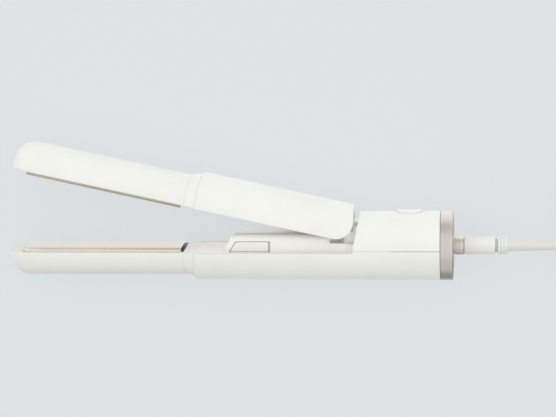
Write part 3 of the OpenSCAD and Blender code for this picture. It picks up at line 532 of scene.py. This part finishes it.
shell = moulded(
    "satin_white_shell", (0.845, 0.848, 0.805), (0.875, 0.878, 0.838),
    gloss=(0.3, 0.42), grain=1300.0, Specular_IOR_Level=0.5,
)
dress(shell, "lower_handle_shell", "rear_top_shell", "upper_handle_shell")
cover = moulded(
    "glossy_white_cover", (0.895, 0.887, 0.845), (0.915, 0.908, 0.87),
    gloss=(0.18, 0.28), grain=1300.0, Specular_IOR_Level=0.5, Coat_Weight=1.0, Coat_Roughness=0.25,
)
dress(cover, "inner_cover", "upper_liner", "hinge_bracket")
touch = moulded(
    "button_white", (0.85, 0.85, 0.81), (0.88, 0.88, 0.845),
    gloss=(0.26, 0.36), grain=1500.0, edge=0.0004, Specular_IOR_Level=0.5,
)
dress(touch, "power_button", "mode_key")


# ---------------------------------------------------------------- barrels and collars
# The two barrel halves hold the hot plates. They are moulded in a heat-resistant white
# plastic that is a little more matt, and the tapered collars behind them in a glossy one.
barrel = moulded(
    "heatproof_white", (0.84, 0.843, 0.798), (0.87, 0.873, 0.832),
    gloss=(0.4, 0.52), grain=1600.0, edge=0.0004,
    Specular_IOR_Level=0.45, Coat_Weight=0.4, Coat_Roughness=0.12,
)
dress(barrel, "lower_barrel_shell", "upper_barrel_shell")
collar = moulded(
    "glossy_white_collar", (0.85, 0.85, 0.806), (0.88, 0.88, 0.84),
    gloss=(0.22, 0.32), grain=1500.0, Specular_IOR_Level=0.5, Coat_Weight=1.0, Coat_Roughness=0.08,
)
dress(collar, "lower_collar", "upper_collar")


# ---------------------------------------------------------------- plates and heaters
# Each hot plate is an aluminium extrusion with a smooth pale-gold ceramic coat. A
# ceramic heater lies between its rails, held by a steel clip and a black carrier.
def gold_coat(name, painted_edge_tones):
    """The plates' coat: pale on the face, with painted highlight and shade on its rounded long edges and
    sides, chosen by the way they face.
    """
    gold = Finish(name, Metallic=1.0, Coat_Weight=1.0, Coat_Roughness=0.08)
    flow = gold.noise(260.0, 3.0, gold.place(stretch=(0.08, 1.0, 1.0)))
    warm = gold.noise(22.0)
    off_face = abs(gold.axis(gold.node("ShaderNodeNewGeometry", out="Normal"), "Z"))
    face = gold.mix(gold.band(warm, 0.25, 0.75), (0.88, 0.81, 0.7), (0.92, 0.855, 0.75))
    # Painted highlight and shade: the edges and sides take their tones from a ramp on the way they face.
    edge = gold.node("ShaderNodeValToRGB", {"stops": painted_edge_tones}, {"Fac": off_face})
    gold.feed(
        Base_Color=gold.mix(gold.band(off_face, 0.12, 0.22), face, edge),
        Roughness=gold.band(flow, 0.25, 0.75, 0.08, 0.16),
    )
    gold.relief(flow, 0.000012, 0.0002)
    return gold


# Painted light on the lower plate's rounded edge: a dark line, a bright highlight and a shaded tan side.
painted_dark_line, painted_highlight, painted_side_shade = (0.3, 0.28, 0.24), (1.0, 0.95, 0.85), (0.62, 0.575, 0.495)
lower_painted_edge = [(0.12, painted_dark_line), (0.26, painted_dark_line), (0.36, painted_highlight), (0.78, painted_highlight), (0.89, painted_side_shade)]
dress(gold_coat("pale_gold_coat", lower_painted_edge), "lower_plate")
# The upper plate's edges and sides get a painted shade.
upper_painted_shade = [(0.2, (0.5, 0.47, 0.4)), (0.6, (0.55, 0.515, 0.44))]
dress(gold_coat("pale_gold_coat_upper", upper_painted_shade), "upper_plate")

ceramic = moulded(
    "heater_ceramic", (0.78, 0.73, 0.62), (0.88, 0.84, 0.74), gloss=(0.6, 0.8), grain=700.0, edge=0.0002
)
dress(ceramic, "lower_heater", "upper_heater", "thermistor")
carrier = moulded(
    "black_carrier", (0.012, 0.012, 0.014), (0.03, 0.03, 0.033),
    gloss=(0.45, 0.6), grain=1200.0, edge=0.0002,
)
dress(carrier, "lower_plate_carrier", "upper_plate_carrier", "power_switch")

steel = Finish("bright_steel", Metallic=1.0)
rolled = steel.noise(400.0, 3.0, steel.place(stretch=(0.15, 1.0, 1.0)))
steel.feed(
    Base_Color=steel.mix(rolled, (0.52, 0.53, 0.55), (0.66, 0.67, 0.69)),
    Roughness=steel.band(rolled, 0.25, 0.75, 0.24, 0.4),
)
steel.relief(rolled, 0.00002, 0.00015)
dress(steel, "lower_heater_clip", "upper_heater_clip", "thermal_fuse", "hinge_pin")


# ---------------------------------------------------------------- springs
# Every plate floats on two small coil springs that stand in seats in the barrel, and
# a torsion spring round the hinge pin opens the arms. All are wound from bright wire.
def wound(name, foot, way, side, height, radius, wire, coils, legs=()):
    """A spring wound from its foot along way, as a mesh with closed ends."""
    other = way.cross(side)
    steps = 16
    points = []
    for i in range(int(coils * steps) + 1):
        angle = 2 * math.pi * i / steps
        share = i / (coils * steps)
        middle = foot + way * (wire / 2 + share * (height - wire))
        points.append(middle + radius * (math.cos(angle) * side + math.sin(angle) * other))
    points = [*[foot + p for p in legs[:1]], *points, *[foot + p for p in legs[1:]]]
    curve = bpy.data.curves.new(name, "CURVE")
    curve.dimensions = "3D"
    curve.bevel_depth = wire / 2
    curve.bevel_resolution = 2
    curve.resolution_u = 1
    curve.use_fill_caps = True
    spline = curve.splines.new("POLY")
    spline.points.add(len(points) - 1)
    for point, place in zip(spline.points, points):
        point.co = (*place, 1)
    made = bpy.data.objects.new(name, curve)
    bpy.context.collection.objects.link(made)
    only(made)
    bpy.ops.object.convert(target="MESH")
    return bpy.context.object


swung = math.radians(12.4)
out_way = {"lower": Vector((0, -1, 0)), "upper": Vector((math.sin(swung), math.cos(swung), 0))}
for arm, body in (("lower", "body"), ("upper", "upper_arm")):
    node = arm + "_plate_springs"
    corners = [v.co.copy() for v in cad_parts[node].data.vertices]
    centre = sum(corners, Vector()) / len(corners)
    along = out_way[arm].cross(Vector((0, 0, 1)))
    pair, feet = [], []
    for end in (-1, 1):
        half = [p for p in corners if (p - centre).dot(along) * end > 0]
        mid = sum(half, Vector()) / len(half)
        deep = [p.dot(out_way[arm]) for p in half]
        foot = mid + out_way[arm] * (max(deep) - mid.dot(out_way[arm]))
        length = max(deep) - min(deep)
        pair.append(
            wound("coil", foot, -out_way[arm], along, length, radius=0.0023, wire=0.00058, coils=5)
        )
        feet.append(foot)
    only(*pair)
    bpy.ops.object.join()
    spring = bpy.context.object
    finish_mesh(spring, arm + "_plate_coils", steel.material, body, [node], 60)
    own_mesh(spring)

pin_low, pin_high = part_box("hinge_pin")
pin_mid = (pin_low + pin_high) / 2
bracket_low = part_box("hinge_bracket")[0]
spring_r, spring_height = 0.0026, 0.0046
torsion = wound(
    "torsion", pin_mid - Vector((0, 0, spring_height / 2)), Vector((0, 0, 1)), Vector((1, 0, 0)),
    height=spring_height, radius=spring_r, wire=0.0008, coils=5,
    legs=[
        Vector((spring_r, bracket_low.y + spring_r - pin_mid.y, 0.0004)),
        Vector((-0.0028, 0.0012, 0.0042)),
    ],
)
finish_mesh(torsion, "hinge_coil", steel.material, "body", ["hinge_spring"], 60)


# ---------------------------------------------------------------- screws
# Small pan-head screws with a cross recess close the handle: two through the control
# block, two through the hinge bracket, and two up through the upper arm's pocket.
head_r, head_h, shank_r = 0.0024, 0.0017, 0.0013
bpy.ops.mesh.primitive_cylinder_add(vertices=40, radius=head_r, depth=head_h, location=(0, 0, head_h / 2))
head = bpy.context.object
settle(head)
bpy.ops.object.mode_set(mode="EDIT")
mesh = bmesh.from_edit_mesh(head.data)
for e in mesh.edges:
    e.select_set(all(v.co.z > head_h / 2 for v in e.verts))
mesh.select_flush_mode()
bmesh.update_edit_mesh(head.data)
bpy.ops.mesh.bevel(offset=0.0006, segments=4)
bpy.ops.object.mode_set(mode="OBJECT")
for turn in (0, math.pi / 2):
    bpy.ops.mesh.primitive_cube_add(size=1, location=(0, 0, head_h), rotation=(0, 0, turn))
    cutter = bpy.context.object
    cutter.scale = (0.0026, 0.0006, 0.0018)
    settle(cutter)
    apply_modifier(head, "BOOLEAN", operation="DIFFERENCE", object=cutter, solver="EXACT")
    bpy.data.objects.remove(cutter)
bpy.ops.mesh.primitive_cylinder_add(vertices=24, radius=shank_r, depth=1, location=(0, 0, -0.5))
shank = bpy.context.object
settle(shank)


def screw_set(node, name, body, way):
    """Puts a screw on each of the node's screws, with its head facing way."""
    only(copy_of(node))
    bpy.ops.object.mode_set(mode="EDIT")
    bpy.ops.mesh.separate(type="LOOSE")
    bpy.ops.object.mode_set(mode="OBJECT")
    made = []
    facing = way.to_track_quat("Z", "Y").to_matrix().to_4x4()
    for old in list(bpy.context.selected_objects):
        points = [v.co.copy() for v in old.data.vertices]
        heights = [p.dot(way) for p in points]
        mid = sum(points, Vector()) / len(points)
        neck = mid + way * (max(heights) - head_h - mid.dot(way))
        shank_length = max(heights) - min(heights) - head_h
        for source, stretch in ((head, 1.0), (shank, shank_length)):
            part = bpy.data.objects.new("part", source.data.copy())
            bpy.context.collection.objects.link(part)
            part.data.transform(Matrix.Translation(neck) @ facing @ Matrix.Diagonal((1, 1, stretch, 1)))
            made.append(part)
        bpy.data.objects.remove(old)
    only(*made)
    bpy.ops.object.join()
    finish_mesh(bpy.context.object, name, steel.material, body, [node], 40)


screw_set("housing_screws", "cross_head_screws", "body", Vector((0, 1, 0)))
screw_set("upper_screws", "upper_cross_head_screws", "upper_arm", -out_way["upper"])
for used in (head, shank):
    bpy.data.objects.remove(used)


# ---------------------------------------------------------------- boards and switch
# Green circuit boards carry a black capacitor, a triac with its tab, a chip and the
# two push switches under the button and the key.
board = Finish("circuit_board", Specular_IOR_Level=0.5)
tracks = board.node(
    "ShaderNodeTexBrick", {"offset": 0.3},
    {"Vector": board.place(turn=(math.pi / 2, 0, 0)), "Scale": 260.0, "Mortar Size": 0.08}, out="Fac",
)
raised = board.axis(board.place(), "Y") > axis_y + 0.0048  # the black pieces on the board
green = board.mix(tracks, (0.02, 0.12, 0.06), (0.05, 0.2, 0.1))
board.feed(
    Base_Color=board.mix(raised, green, (0.015, 0.015, 0.017)),
    Roughness=board.band(tracks, 0, 1, 0.35, 0.5),
)
board.relief(tracks, 0.00003, 0.0001)
dress(board, "control_board", "key_board")


# ---------------------------------------------------------------- ring and cap
# A turned metal ring closes the handle. The cap inside it, with its neck for the
# swivelling sleeve, has the same satin metal finish.
ring = Finish("turned_trim", Metallic=1.0)
turned_lines = ring.noise(700.0, 3.0, ring.place(stretch=(5.0, 0.02, 0.02)))
broad = ring.noise(90.0, place=ring.place(stretch=(6.0, 0.05, 0.05)))
streak = ring.mix(ring.band(broad, 0.3, 0.7), (0.56, 0.52, 0.485), (0.7, 0.66, 0.62))
# Faces turned to the far, brighter side get a paler base: painted light.
to_far_side = ring.axis(ring.node("ShaderNodeNewGeometry", out="Normal"), "Y")
ring.feed(
    Base_Color=ring.mix(ring.band(to_far_side, 0.7, 1.0), streak, (0.85, 0.81, 0.77)),
    Roughness=ring.band(turned_lines, 0.25, 0.75, 0.26, 0.4),
)
ring.relief(turned_lines, 0.00002, 0.0002)
dress(ring, "trim_ring", "end_cap")


# ---------------------------------------------------------------- swivel sleeve
# The sleeve turns in the cap. It is moulded in white, with three soft ribs and a tapered,
# slightly darker tail that keeps the cord from bending sharply. Its groove is darkened with painted
# shade.
sleeve_dark, sleeve_light = (0.8, 0.805, 0.765), (0.84, 0.845, 0.8)
groove_at, groove_half = 0.138, 0.0008
sleeve = moulded(
    "sleeve_white", sleeve_dark, sleeve_light, gloss=(0.36, 0.48), grain=1400.0, Specular_IOR_Level=0.45
)
along_sleeve = sleeve.axis(sleeve.place(), "X")
white = sleeve.mix(sleeve.noise(30.0, 3.0), sleeve_dark, sleeve_light)
with_tail = sleeve.mix(sleeve.band(along_sleeve, 0.1445, 0.1455), white, (0.72, 0.73, 0.665))
# The groove gets a darker base: painted shade in the recess.
in_groove = abs(along_sleeve - groove_at) < groove_half
sleeve.feed(Base_Color=sleeve.mix(in_groove, with_tail, (0.66, 0.665, 0.615)))
dress(sleeve, "cord_swivel")
